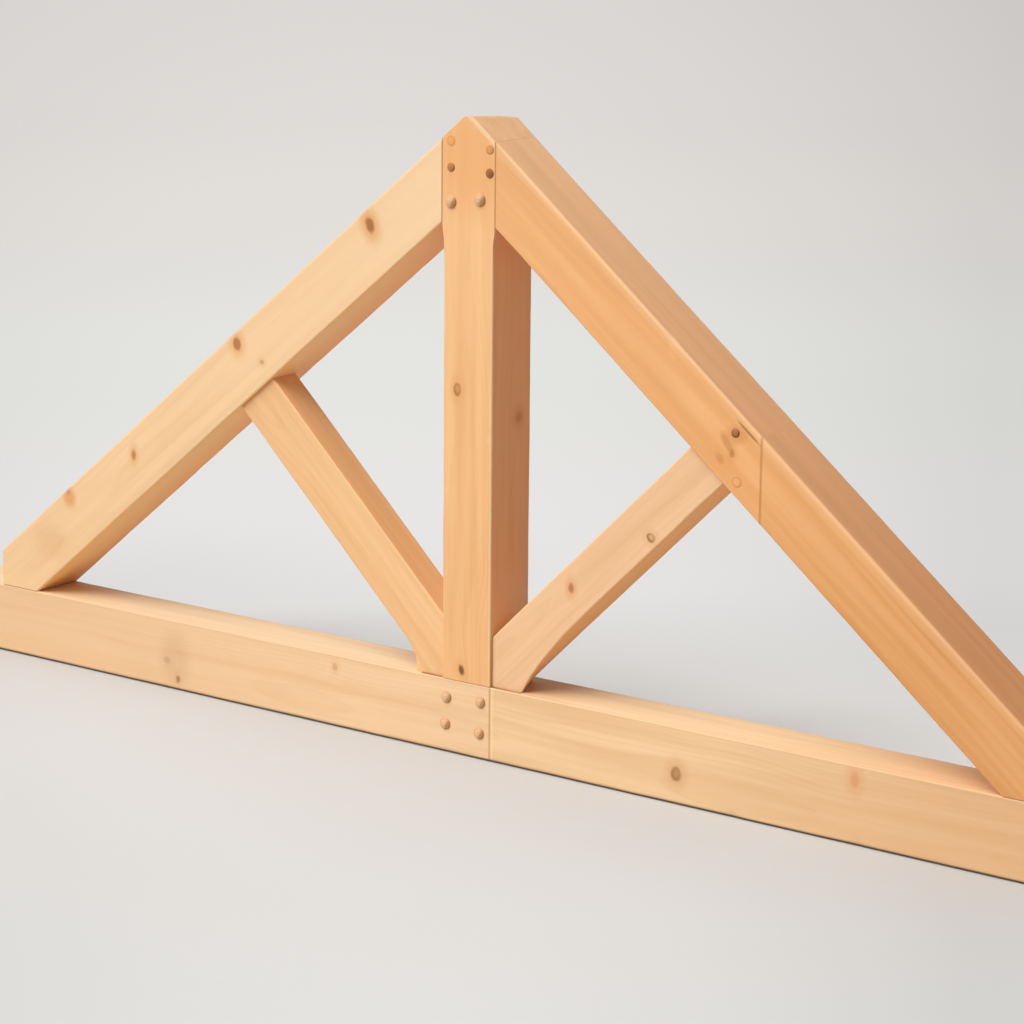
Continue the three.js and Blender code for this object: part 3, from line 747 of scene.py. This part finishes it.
def planed_softwood(
        name, log, angle, pitch, seed, pale, deep, late, knots, rings=0.11, wear_and_highlight=0.12,
        rub_and_highlight="#fbd0a4", painted_top_light=("#d99662", "#ffc896", 0.9), under=("#ffc083", "#f5a868", 0.6),
        high=("#ffdcb0", 0), side=0, roof_edge_highlight=None, contact_shadow=0, painted_end_shade=None, painted_foot_shade=None,
        painted_nook_shade=0, foot=None, joints=()):
    """Planed spruce or pine, bare: pale early wood with soft darker lines, dull and a bit silky.

    The pattern is solid, in the log's own coordinates: its pith passes through the point `log`
    along the timber's axis, so faces, arrises and end grain agree with each other. pitch is how
    many millimetres a ring takes, rings how strongly the late wood shows, and wear_and_highlight
    how far the arrises have turned to the colour rub_and_highlight: partly wear, partly a painted
    highlight, or a painted dimming of the lamp's highlight where that colour is darker.

    painted_top_light is painted light: the colours painted on faces that look up, low down and high
    up, and how far; under is painted shade: the colours painted on faces that look down, at the
    front and the back, and how far; high is painted light: a paler colour painted in with height;
    side is painted shade: how far the side faces are painted redder.

    roof_edge_highlight is a painted highlight: a pale band down the front face from the roof's
    edge, how strong and how many millimetres down. contact_shadow is a painted shadow: a dark line
    where the timber lies on the floor. painted_end_shade is painted shade, a colour that comes in
    towards an end: the X where it is full and where it begins, how strong, the colour, and how much
    of the painted light on faces that look up is left there. painted_foot_shade does the same in Z
    towards a foot: painted shade, a greyer colour that takes out the red of light bounced between
    the timbers. painted_nook_shade is how dark the side is painted where a strut stands against it,
    as painted shade. foot is the two X between which a strut's foot leaves a painted shadow on the
    beam and how far that painted shadow spreads, and joints the X, half width
    in millimetres, strength and colour of lines down the front and back: brown lines at joints,
    and pale ones that are painted highlight or painted light.
    """
    material, tree = new_material(name)
    pith = Vector(log) * MM
    coords = add(tree, "TexCoord")
    own = add(tree, "Mapping", {
        "Vector": coords["Object"], "Location": pith, "Rotation": (0, -angle, 0)},
        vector_type="TEXTURE")
    grain, stains = knotty_grain(tree, own, Matrix.Rotation(angle, 3, "Y"), pith, knots)
    figure = add(tree, "Group", node_tree=GRAIN, inputs={
        "Grain": grain, "Pitch": pitch * MM, "Seed": seed})
    x, y, z = add(tree, "SeparateXYZ", (coords["Object"],))
    facing_x, facing_y, facing_z = add(tree, "SeparateXYZ", (coords["Normal"],))

    # The wood itself, and painted light: a paler colour painted in higher up.
    wood = coat(tree, pale, deep, (SMOOTH, figure["Streak"], 0.32, 0.68))
    wood = coat(tree, wood, late, figure["Late"], rings)
    shade = strength(
        tree, (EVEN, figure["Fibre"], 0.3, 0.7, 0.98, 1.015),
        (EVEN, figure["Cloud"], 0.3, 0.7, 0.975, 1.02))
    wood = coat(tree, wood, shade, 1, blend="MULTIPLY")
    wood = coat(tree, wood, high[0], (EVEN, z, 0.5, 1.3, 0, high[1]))
    top_light_kept = []
    # Painted shade: a darker colour towards an end, where the painted light on faces that look up
    # is cut as given.
    if painted_end_shade:
        full, begins, most, colour, left = painted_end_shade
        wood = coat(tree, wood, colour, (SMOOTH, x, begins, full, 0, most))
        top_light_kept = [(SMOOTH, x, begins, full, 1, left)]
    for stain in stains:
        wood = add(tree, "Group", node_tree=KNOT_STAIN, inputs={"Wood": wood, **stain})

    # Painted light and shade: faces that look up take the colour that the light gives them, faces
    # that look down are painted in the orange of shade, and the side faces are painted redder. End
    # grain drinks more light and is browner.
    top_light = coat(tree, painted_top_light[0], painted_top_light[1], (EVEN, z, 0.45, 1.5))
    run = add(tree, "MapRange", (figure["Streak"], 0.3, 0.7, 1.06, 0.92))
    top_light = coat(tree, top_light, run, 1, blend="MULTIPLY")
    wood = coat(tree, wood, top_light, (SMOOTH, facing_z, 0.2, 0.7), painted_top_light[2], *top_light_kept)
    # Painted shade on faces that look down.
    under_shade = coat(tree, under[0], under[1], (EVEN, y, -30 * MM, 75 * MM))
    wood = coat(tree, wood, under_shade, (SMOOTH, facing_z, -0.2, -0.7, 0, under[2]))
    # Painted shade: side faces painted redder.
    flank = add(tree, "Math ABSOLUTE", (facing_x,))
    wood = coat(tree, wood, "#e08e53", (EVEN, flank, 0.8, 1, 0, side))
    axis = (math.cos(angle), 0, math.sin(angle))
    along = add(tree, "VectorMath DOT_PRODUCT", (coords["Normal"], axis))
    along = add(tree, "Math ABSOLUTE", (along,))
    wood = coat(tree, wood, "#b9834e", (SMOOTH, along, 0.85, 1, 0, 0.45))

    # Arrises turn paler with wear and carry a painted highlight, or a painted dimming of the lamp's
    # highlight where their colour is darker; on the post, only the arrises that turn right.
    eased = add(tree, "Attribute", attribute_name="eased")["Fac"]
    right_arrises = [(EVEN, facing_x, -0.1, 0.1)] if painted_nook_shade else []
    wood = coat(tree, wood, rub_and_highlight, eased, wear_and_highlight, *right_arrises)
    # A painted highlight: a pale band down the front face from the roof's edge.
    if roof_edge_highlight:
        roof = add(tree, "Math MULTIPLY_ADD", (x, -ROOF_SLOPE, ROOF_HEIGHT))
        below = add(tree, "Math SUBTRACT", (roof, z))
        wood = coat(
            tree, wood, "#ffd5a8", (SMOOTH, below, 8 * MM, roof_edge_highlight[1] * MM, roof_edge_highlight[0], 0),
            (EVEN, facing_y, -0.1, -0.6))

    # Painted shade and painted shadow low down, and where the struts meet the post and the tie.
    across = add(tree, "Math ABSOLUTE", (facing_y,))
    # Painted shade: a greyer colour low down, against the red of light bounced between the timbers.
    if painted_foot_shade:
        full, begins, most, colour = painted_foot_shade
        wood = coat(
            tree, wood, colour, (SMOOTH, z, full, begins, most, 0),
            (EVEN, across, 0.3, 0.7, 1, 0))
    # Painted shade: the post's right side below 0.3 m painted darker and browner beside the strut.
    if painted_nook_shade:
        wood = coat(
            tree, wood, "#d09743", (EVEN, z, 0.29, 0.31, painted_nook_shade, 0),
            (EVEN, facing_x, 0.85, 1))
    # Painted shadow: a dark strip on the tie's top in front of a strut's foot, and a softer one
    # spreading to its right.
    if foot:
        left, right, spread = foot
        level = add(tree, "MapRange", (facing_z, 0.8, 1))
        wood = coat(
            tree, wood, "#7c4a20", (EVEN, x, left - 3 * MM, left, 0, 0.85),
            (EVEN, x, right, right + 3 * MM, 1, 0), level,
            (EVEN, y, -66 * MM, -63 * MM, 1, 0))
        wood = coat(
            tree, wood, "#cfa070", (SMOOTH, x, right, right + 0.2, spread, 0),
            (EVEN, x, left, right), level)
    # Shoulders and seams hold a brown line on the front and back faces; the pale lines among them
    # are painted highlight and painted light.
    faced = add(tree, "MapRange", (across, 0.3, 0.9))
    seam = add(tree, "Attribute", attribute_name="seam")["Fac"]
    wood = coat(tree, wood, "#b0723a", seam, 0.55, faced)
    for middle, half, most, colour in joints:
        away = add(tree, "Math SUBTRACT", (x, middle))
        away = add(tree, "Math ABSOLUTE", (away,))
        wood = coat(tree, wood, colour, (SMOOTH, away, half / 10 * MM, half * MM, most, 0), faced)
    # Painted shadow: a dark line low on the sides where the beam lies on the floor.
    if contact_shadow:
        wood = coat(
            tree, wood, "#4e340c", (EVEN, z, 4 * MM, 7.5 * MM, contact_shadow, 0),
            (EVEN, facing_z, -0.99, -0.95))

    # Late wood stands a few hundredths proud after planing, and fibres roughen the rest.
    relief = strength(tree, figure["Late"], 0.35)
    relief = add(tree, "Math ADD", (relief, figure["Fibre"]))
    bump = add(tree, "Bump", {"Strength": 0.2, "Distance": 0.15 * MM, "Height": relief})
    rough = add(tree, "MapRange", (figure["Fibre"], 0.3, 0.7, 0.52, 0.64))
    skin = add(tree, "BsdfPrincipled", {
        "Base Color": wood, "Roughness": rough, "IOR": 1.45, "Normal": bump})
    add(tree, "OutputMaterial", {"Surface": skin})
    return material


def turned_oak():
    """Turned oak, bare end grain: pale tan, with fine rings and open pores, dull."""
    material, tree = new_material("turned_oak")
    own = add(tree, "Attribute", attribute_name="heart")["Vector"]
    flat = add(tree, "VectorMath MULTIPLY", (own, (1, 0, 1)))
    bend = add(tree, "TexNoise", {"Vector": own, "Scale": 60, "Detail": 2})["Fac"]
    radius = add(tree, "VectorMath LENGTH", (flat,))
    radius = add(tree, "Math ADD", (radius, strength(tree, bend, 0.006)))
    # Rings 4.5 mm apart. Pores are 0.3 mm across; drawn at 0.8 mm so that they show.
    year = add(tree, "Math DIVIDE", (radius, 4.5 * MM))
    year = add(tree, "Math FRACT", (year,))
    pores = add(tree, "TexNoise", {"Vector": flat, "Scale": 900, "Detail": 1})["Fac"]
    pores = add(tree, "MapRange", (pores, 0.55, 0.7, 0, 0.4))
    wood = coat(tree, "#e6b98f", "#d4a577", (SMOOTH, year, 0.45, 0.9, 0, 0.4))
    wood = coat(tree, wood, "#bd8a58", pores)
    # Some heads have darkened right across. Painted shade darkens the right of each head, as a
    # proud dome is shaded there, and some heads are darker round the rim.
    shade = add(tree, "Attribute", attribute_name="shade")["Fac"]
    for start, colour in ((0, "#f0ab6c"), (0.5, "#8a4812")):
        wood = coat(tree, wood, colour, (EVEN, shade, start, start + 0.5))
    painted_shade_and_rim = add(tree, "Attribute", attribute_name="painted_shade_and_rim")["Fac"]
    wood = coat(tree, wood, "#c9b893", (SMOOTH, painted_shade_and_rim, 0.02, 0.5, 0, 0.9), blend="MULTIPLY")
    bump = add(tree, "Bump", {"Strength": 0.4, "Distance": 0.2 * MM, "Height": pores}, invert=True)
    skin = add(tree, "BsdfPrincipled", {
        "Base Color": wood, "Roughness": 0.6, "IOR": 1.45, "Normal": bump})
    add(tree, "OutputMaterial", {"Surface": skin})
    return material


# ---- the truss

def dress(piece, node, material):
    """Gives a piece its finish, and lets it stand for its solid."""
    piece.data.materials.append(material)
    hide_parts(node)
    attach(piece, "root")


# Faces on which the knots lie, in millimetres
FRONT, BACK = -75, 75
STRUT_FRONT = -65
POST_SIDE = 70

# Lines that more than one timber shares: X, half width in millimetres, strength and colour
TIE_SEAM = (SPLICE_X, 4.5, 0.6, "#bb8450")
RAFTER_SEAM = (RAFTER_SPLICE_X, 5, 0.55, "#b56a30")

tie_left, tie_right = tie_beams()
dress(tie_left, "tie_beam_left", planed_softwood(
    "planed_spruce_tie_left", log=(0, 28, 52), angle=math.radians(0.4), pitch=9, seed=1.3,
    pale="#f2cda2", deep="#ecc092", late="#d69c60", knots=[
        knot(-921, FRONT, 78, 46, 64, dark=0, halo=0.3, warm="#c79b6c"),
        knot(-949, FRONT, 73, 22, 20, dark=0.35, stain="#a9805a", halo=0.2, warm="#cfaa80"),
        knot(-912, FRONT, 29, 15, 22, dark=0.65, stain="#8a5d34"),
        knot(-398, FRONT, 149, 15, 15, dark=0.35, stain="#a9793f", halo=0.25),
        knot(610, BACK, 120, 26, 32), knot(-1480, 10, 180, 24, 24)],
    wear_and_highlight=0.6, rub_and_highlight="#dcb58a", painted_top_light=("#f0e0be", "#f0e0be", 0.35), contact_shadow=0.85,
    painted_end_shade=(-1.2, -0.3, 0.5, "#e9bc8e", 1), foot=(-0.135, -0.07, 0), joints=[TIE_SEAM]))
dress(tie_right, "tie_beam_right", planed_softwood(
    "planed_spruce_tie_right", log=(0, 32, 60), angle=math.radians(-0.5), pitch=10, seed=4.1,
    pale="#f2cda0", deep="#e9bf8f", late="#d2965b", knots=[
        knot(594, FRONT, 72, 27, 32, ring=0.45, stain="#945f22", halo=0.4, warm="#cf945c"),
        knot(1054, FRONT, 147, 22, 28, dark=0.35, stain="#cf7c4c", halo=0.35, warm="#dd9560"),
        knot(1380, BACK, 60, 25, 30)],
    wear_and_highlight=0.6, rub_and_highlight="#dab287", painted_top_light=("#ffe2b8", "#ffe2b8", 0.36), contact_shadow=0.85,
    painted_end_shade=(1.4, 0.5, 0.55, "#d9a470", 0.3), foot=(0.07, 0.156, 0.5),
    # A pale line beside the seam: a painted highlight.
    joints=[TIE_SEAM, (SPLICE_X + 7 * MM, 5, 0.4, "#ffdcb0")]))

dress(king_post(), "king_post", planed_softwood(
    "planed_spruce_post", log=(-12, 40, 0), angle=QUARTER + math.radians(0.4), pitch=9, seed=7.7,
    pale="#f6c28a", deep="#edb379", late="#cf8f50", knots=[
        knot(0, FRONT, 1400, 90, 110, dark=0, halo=0.45, warm="#efa25e"),
        knot(-29, FRONT, 874, 20, 31, ring=0.6, dark=0.95, stain="#a06228", warm="#dd9a58"),
        knot(-13, FRONT, 208, 17, 27, tilt=-20, stain="#875614", halo=0.4, warm="#d99a50"),
        knot(POST_SIDE, 29, 806, 24, 30, dark=0.6, stain="#c0481a", halo=0.35, warm="#b5623c")],
    wear_and_highlight=0.5, rub_and_highlight="#ffdcae", high=("#ffcf98", 0.4), side=0.5, roof_edge_highlight=(0.8, 18),
    painted_foot_shade=(0.28, 0.5, 0.85, "#e4be8c"), painted_nook_shade=0.9,
    joints=[(-HEAD_HALF, 4, 0.8, "#b07035"), (HEAD_HALF, 4, 0.8, "#b07035")]))

left, upper, lower = rafters()
dress(left, "rafter_left", planed_softwood(
    "planed_spruce_left_rafter", log=(-763, 30, 790), angle=ROOF_PITCH, pitch=10, seed=11.2,
    pale="#f7cf9f", deep="#f2c795", late="#dba368", knots=[
        knot(-287, FRONT, 1231, 27, 38, tilt=-22, dark=0.85, stain="#a5622a", halo=0.6,
             warm="#e0964c"),
        knot(-702, FRONT, 907, 24, 30, ring=0.25, dark=0.95, stain="#a55e2a", halo=0.5,
             warm="#e39c55"),
        knot(-1051, FRONT, 587, 16, 29, dark=0.75, stain="#b4702f", halo=0.45),
        knot(-623, FRONT, 871, 15, 13, dark=0.45, stain="#a37442", halo=0.2),
        knot(-1280, FRONT, 449, 20, 24, dark=0, halo=0.7, warm="#dc9450"),
        knot(-1283, FRONT, 462, 12, 16, dark=0.35, stain="#a9642c", halo=0),
        knot(-1352, FRONT, 322, 60, 44, dark=0, halo=0.25, warm="#dca066")],
    wear_and_highlight=0, painted_top_light=("#e0b484", "#e0b484", 0.8), under=("#ffc47c", "#ffaf66", 0.95),
    high=("#ffdcb0", 0.55), joints=[(-HEAD_SIDE_X, 3, 0.6, "#c08a50")]))
dress(upper, "rafter_right_upper", planed_softwood(
    "planed_pine_right_rafter_upper", log=(400, 34, 1070), angle=-ROOF_PITCH, pitch=11, seed=15.9,
    pale="#f2b477", deep="#e9a565", late="#cf8444", knots=[
        knot(709, FRONT, 840, 20, 62, tilt=-33, dark=0.42, stain="#b0703a", halo=0.1,
             warm="#d98f4e"),
        knot(722, FRONT, 820, 13, 19, dark=0.5, stain="#a9642c", warm="#d98f4e"),
        knot(690, FRONT, 806, 17, 30, tilt=-40, dark=0.35, stain="#b4723a", halo=0.1,
             warm="#d98f4e"),
        knot(731, FRONT, 861, 26, 18, dark=0, halo=0.5, warm="#cc8746"),
        knot(763, FRONT, 871, 6, 84, tilt=-51, dark=0.85, stain="#94592a", halo=0),
        knot(300, BACK, 1190, 26, 34)],
    wear_and_highlight=0.15, rub_and_highlight="#f6c898", high=("#ffcd95", 0.2), roof_edge_highlight=(0.24, 36),
    joints=[RAFTER_SEAM, (HEAD_SIDE_X, 3, 0.6, "#c08a50")]))
dress(lower, "rafter_right_lower", planed_softwood(
    "planed_pine_right_rafter_lower", log=(1160, 40, 440), angle=-ROOF_PITCH, pitch=12, seed=19.4,
    pale="#e5a86b", deep="#d89452", late="#c67a3b", knots=[knot(1250, BACK, 420, 26, 34)],
    rings=0.12, wear_and_highlight=0.04, rub_and_highlight="#f6c898", high=("#ffc284", 1), roof_edge_highlight=(0.25, 36),
    joints=[RAFTER_SEAM]))

dress(strut("left_strut", LEFT_STRUT), "strut_left", planed_softwood(
    "planed_spruce_left_strut", log=(-300, 20, 460), angle=-STRUT_PITCH, pitch=9, seed=23.6,
    pale="#f5c590", deep="#edb982", late="#d39758", knots=[],
    painted_top_light=("#f5ac68", "#f5ac68", 0.35), painted_foot_shade=(0.25, 0.5, 0.8, "#e0bb8c")))
dress(strut("right_strut", RIGHT_STRUT), "strut_right", planed_softwood(
    "planed_spruce_right_strut", log=(300, 22, 470), angle=STRUT_PITCH, pitch=9, seed=27.1,
    pale="#f1c497", deep="#ebbc8c", late="#d29a60", knots=[
        knot(508, STRUT_FRONT, 600, 19, 18, ring=0.8, stain="#8a5c20", halo=0.35, warm="#d9a06a"),
        knot(292, STRUT_FRONT, 452, 16, 26, dark=0.75, stain="#b06530", halo=0.5,
             warm="#dd9a60")],
    painted_top_light=("#f5ac68", "#f5ac68", 0.35), under=("#f7af5c", "#eda04d", 0.85),
    # Pale lines by the post: a painted highlight on the strut's end, and painted light on its
    # shade.
    joints=[(BODY_SIDE_X, 4, 0.6, "#ffe2b4"), (BODY_SIDE_X, 22, 0.3, "#ffdcb2")]))

# How wide and how proud each peg's head was left, how far it has darkened, how strongly its
# right is painted with shade, and how far its rim is darkened.
PEG_HEADS = {
    "head_peg_left_top": (0.8, 0.12, 0.5, 0.2, 0.22),
    "head_peg_right_top": (0.65, 0.12, 0.62, 0.3, 0.2),
    "head_peg_left_middle": (0.7, 0.4, 0.8, 0.35, 0),
    "head_peg_right_middle": (0.75, 0.5, 0.92, 0.35, 0),
    "head_peg_left_bottom": (1, 1, 0, 0.8, 0.2),
    "head_peg_right_bottom": (1.05, 1, 0, 0.8, 0.2),
    "tie_peg_left_top": (1, 0.8, 0, 0.7, 0.25),
    "tie_peg_left_bottom": (1, 0.8, 0.05, 0.9, 0.25),
    "tie_peg_right_top": (1, 0.8, 0, 0.9, 0.25),
    "tie_peg_right_bottom": (1, 0.8, 0.05, 0.9, 0.25),
    "rafter_peg_top": (0.5, 0.2, 0.88, 0.2, 0),
    "rafter_peg_bottom": (0.8, 0.1, 0.5, 0.1, 0.28)}
oak = turned_oak()
for node, head in PEG_HEADS.items():
    dress(wooden_peg("wooden_" + node, node, *head), node, oak)


# ---- studio

VIEW_FROM = (4.3329, -5.7367, 2.1876)
VIEW_YAW = math.radians(36.585)
VIEW_PITCH = math.radians(-12.632)
VIEW_ROLL = math.radians(0.502)
LENS = 111.12  # millimetres, on a sensor 36 mm wide
SENSOR = 36

FLOOR_Z = -0.4 * MM
FLOOR_SIDES = 96
FLOOR_RINGS = 24
# Paint tones of the floor, and how far from the camera each comes in
FLOOR_NEAR = "#d9d9d8"
FLOOR_TONES = ((6.3, 9.2, "#dddddd"), (9.5, 12, "#dadbd9"), (12.5, 16.5, "#d8d6d4"))

KEY_STRENGTH = 3.4
KEY_SPREAD = math.radians(55)
KEY_FROM = (-0.25, -0.52, 0.816)
ROOM_STRENGTH = 0.23


def camera():
    """Turned left by the yaw from straight along Y, tilted by the pitch, then rolled."""
    flat = math.cos(VIEW_PITCH)
    ahead = Vector((-math.sin(VIEW_YAW) * flat, math.cos(VIEW_YAW) * flat, math.sin(VIEW_PITCH)))
    level = ahead.cross(Vector((0, 0, 1))).normalized()
    above = level.cross(ahead)
    right = math.cos(VIEW_ROLL) * level + math.sin(VIEW_ROLL) * above
    up = -math.sin(VIEW_ROLL) * level + math.cos(VIEW_ROLL) * above
    lens = bpy.data.cameras.new("camera")
    lens.lens, lens.sensor_width = LENS, SENSOR
    eye = bpy.data.objects.new("camera", lens)
    rows = [(right[k], up[k], -ahead[k], VIEW_FROM[k]) for k in range(3)]
    eye.matrix_world = Matrix((*rows, (0, 0, 0, 1)))
    bpy.context.scene.collection.objects.link(eye)
    bpy.context.scene.camera = eye


def falls_off(tree, sideways):
    """Brightness of the studio from left to right: 1 - 3.6 (h + 0.05)^2, and at least 0.85."""
    offset = add(tree, "Math ADD", (sideways, 0.05))
    lost = strength(tree, offset, offset, 3.6)
    lost = add(tree, "Math MINIMUM", (lost, 0.15))
    return add(tree, "Math SUBTRACT", (1, lost))


def floor_painted_light(tree, x, y):
    """How the truss's own place on the floor differs from the rest of the paint.

    Painted shade lies along the front of the truss, against the light that the timber throws back
    on the floor: it takes worst * exp(-distance / reach) of the paint's light. Behind the truss the
    paint is painted paler towards the right, as painted light that lifts its shadow. Both fade out
    past the truss's ends.
    """
    beside = add(tree, "Math ABSOLUTE", (x,))
    beside = strength(tree, (SMOOTH, beside, 1.7, 2.5, 1, 0))
    ahead = add(tree, "MapRange", (y, -3.075, -0.075, 3, 0))
    aside = add(tree, "Math SUBTRACT", (x, 0.45))
    aside = add(tree, "Math ABSOLUTE", (aside,))
    reach = add(tree, "MapRange", (aside, 0.2, 1.3, 0.46, 0.2))
    front_shade = add(tree, "Math DIVIDE", (ahead, reach))
    front_shade = add(tree, "Math EXPONENT", (strength(tree, front_shade, -1),))
    front_shade = strength(tree, front_shade, (EVEN, x, 0, 0.9, 0.26, 0.17), beside)
    front_shaded = add(tree, "Math SUBTRACT", (1, front_shade))
    behind = add(tree, "MapRange", (y, 0, 0.1))
    shadow_lift = strength(
        tree, (SMOOTH, y, 0.28, 2, 1, 0), behind, (EVEN, x, -1, 1.2, -0.08, 0.45), beside,
        (SMOOTH, x, 1, 1.7, 1, 0))
    tone = add(tree, "Mix", {"Factor": behind, "A": front_shaded, "B": 1})
    return add(tree, "Math ADD", (tone, shadow_lift))


def studio_floor():
    """A round floor: rings whose radii grow by a steady ratio about one middle point."""
    radius = 0.4 * 1.27 ** np.arange(FLOOR_RINGS)
    turn = np.arange(FLOOR_SIDES) * FULL_TURN / FLOOR_SIDES
    x = np.append(np.outer(radius, np.cos(turn)), 0)
    y = np.append(np.outer(radius, np.sin(turn)), 0)
    i = np.arange(FLOOR_SIDES)
    middle = np.full(FLOOR_SIDES, FLOOR_RINGS * FLOOR_SIDES)
    floor = put_mesh("floor", np.stack([x, y, np.full(x.shape, FLOOR_Z)], -1), [
        band_faces(FLOOR_RINGS, FLOOR_SIDES)[:, ::-1],
        np.stack([middle, i, (i + 1) % FLOOR_SIDES], -1)])

    # Matt studio paint, which thins out into the backdrop far away.
    material, tree = new_material("painted_studio_floor")
    place = add(tree, "TexCoord")["Object"]
    own = add(tree, "Mapping", {
        "Vector": place, "Location": (VIEW_FROM[0], VIEW_FROM[1], 0),
        "Rotation": (0, 0, VIEW_YAW)}, vector_type="TEXTURE")
    aside, away, _ = add(tree, "SeparateXYZ", (own,))
    paint = FLOOR_NEAR
    for near, far, shade in FLOOR_TONES:
        paint = coat(tree, paint, shade, (SMOOTH, away, near, far))
    depth = add(tree, "Math MAXIMUM", (away, 1))
    sideways = add(tree, "Math DIVIDE", (aside, depth))
    x, y, _ = add(tree, "SeparateXYZ", (place,))
    tone = strength(tree, floor_painted_light(tree, x, y), falls_off(tree, sideways))
    paint = coat(tree, paint, tone, 1, blend="MULTIPLY")
    matt = add(tree, "BsdfDiffuse", {"Color": paint})
    clear = add(tree, "BsdfTransparent")
    reach = add(tree, "VectorMath LENGTH", (place,))
    thin = strength(tree, (SMOOTH, reach, 9, 16))
    both = add(tree, "MixShader", (thin, matt, clear))
    add(tree, "OutputMaterial", {"Surface": both})
    floor.data.materials.append(material)


def lights():
    """One very broad soft light from the upper left front, and an even, dim room."""
    key = bpy.data.lights.new("softbox", "SUN")
    key.energy, key.angle, key.color = KEY_STRENGTH, KEY_SPREAD, (1, 0.987, 0.97)
    key_object = bpy.data.objects.new("softbox", key)
    key_object.rotation_mode = "QUATERNION"
    key_object.rotation_quaternion = Vector(KEY_FROM).to_track_quat("Z", "Y")
    bpy.context.scene.collection.objects.link(key_object)

    world = bpy.data.worlds.new("studio_room")
    bpy.context.scene.world = world
    world.use_nodes = True
    tree = world.node_tree
    tree.nodes.clear()
    room = add(tree, "Background", {"Color": "#ffffff", "Strength": ROOM_STRENGTH})
    # What the camera and shiny things see is a pale backdrop, a little dimmer above the floor.
    sight = add(tree, "TexCoord")["Generated"]
    right = (math.cos(VIEW_YAW), math.sin(VIEW_YAW), 0)
    sideways = add(tree, "VectorMath DOT_PRODUCT", (sight, right))
    rise = add(tree, "SeparateXYZ", (sight,))["Z"]
    dim = strength(tree, (EVEN, rise, -0.09, -0.055, 1, 0.965), falls_off(tree, sideways))
    wall = coat(tree, "#dfdbd8", dim, 1, blend="MULTIPLY")
    backdrop = add(tree, "Background", {"Color": wall, "Strength": 1})
    path = add(tree, "LightPath")
    seen = path["Is Camera Ray"]
    for ray in ("Is Glossy Ray", "Is Transmission Ray"):
        seen = add(tree, "Math MAXIMUM", (seen, path[ray]))
    mix = add(tree, "MixShader", (seen, room, backdrop))
    add(tree, "OutputWorld", {"Surface": mix})


camera()
studio_floor()
lights()

view = bpy.context.scene.view_settings
view.view_transform = "Standard"
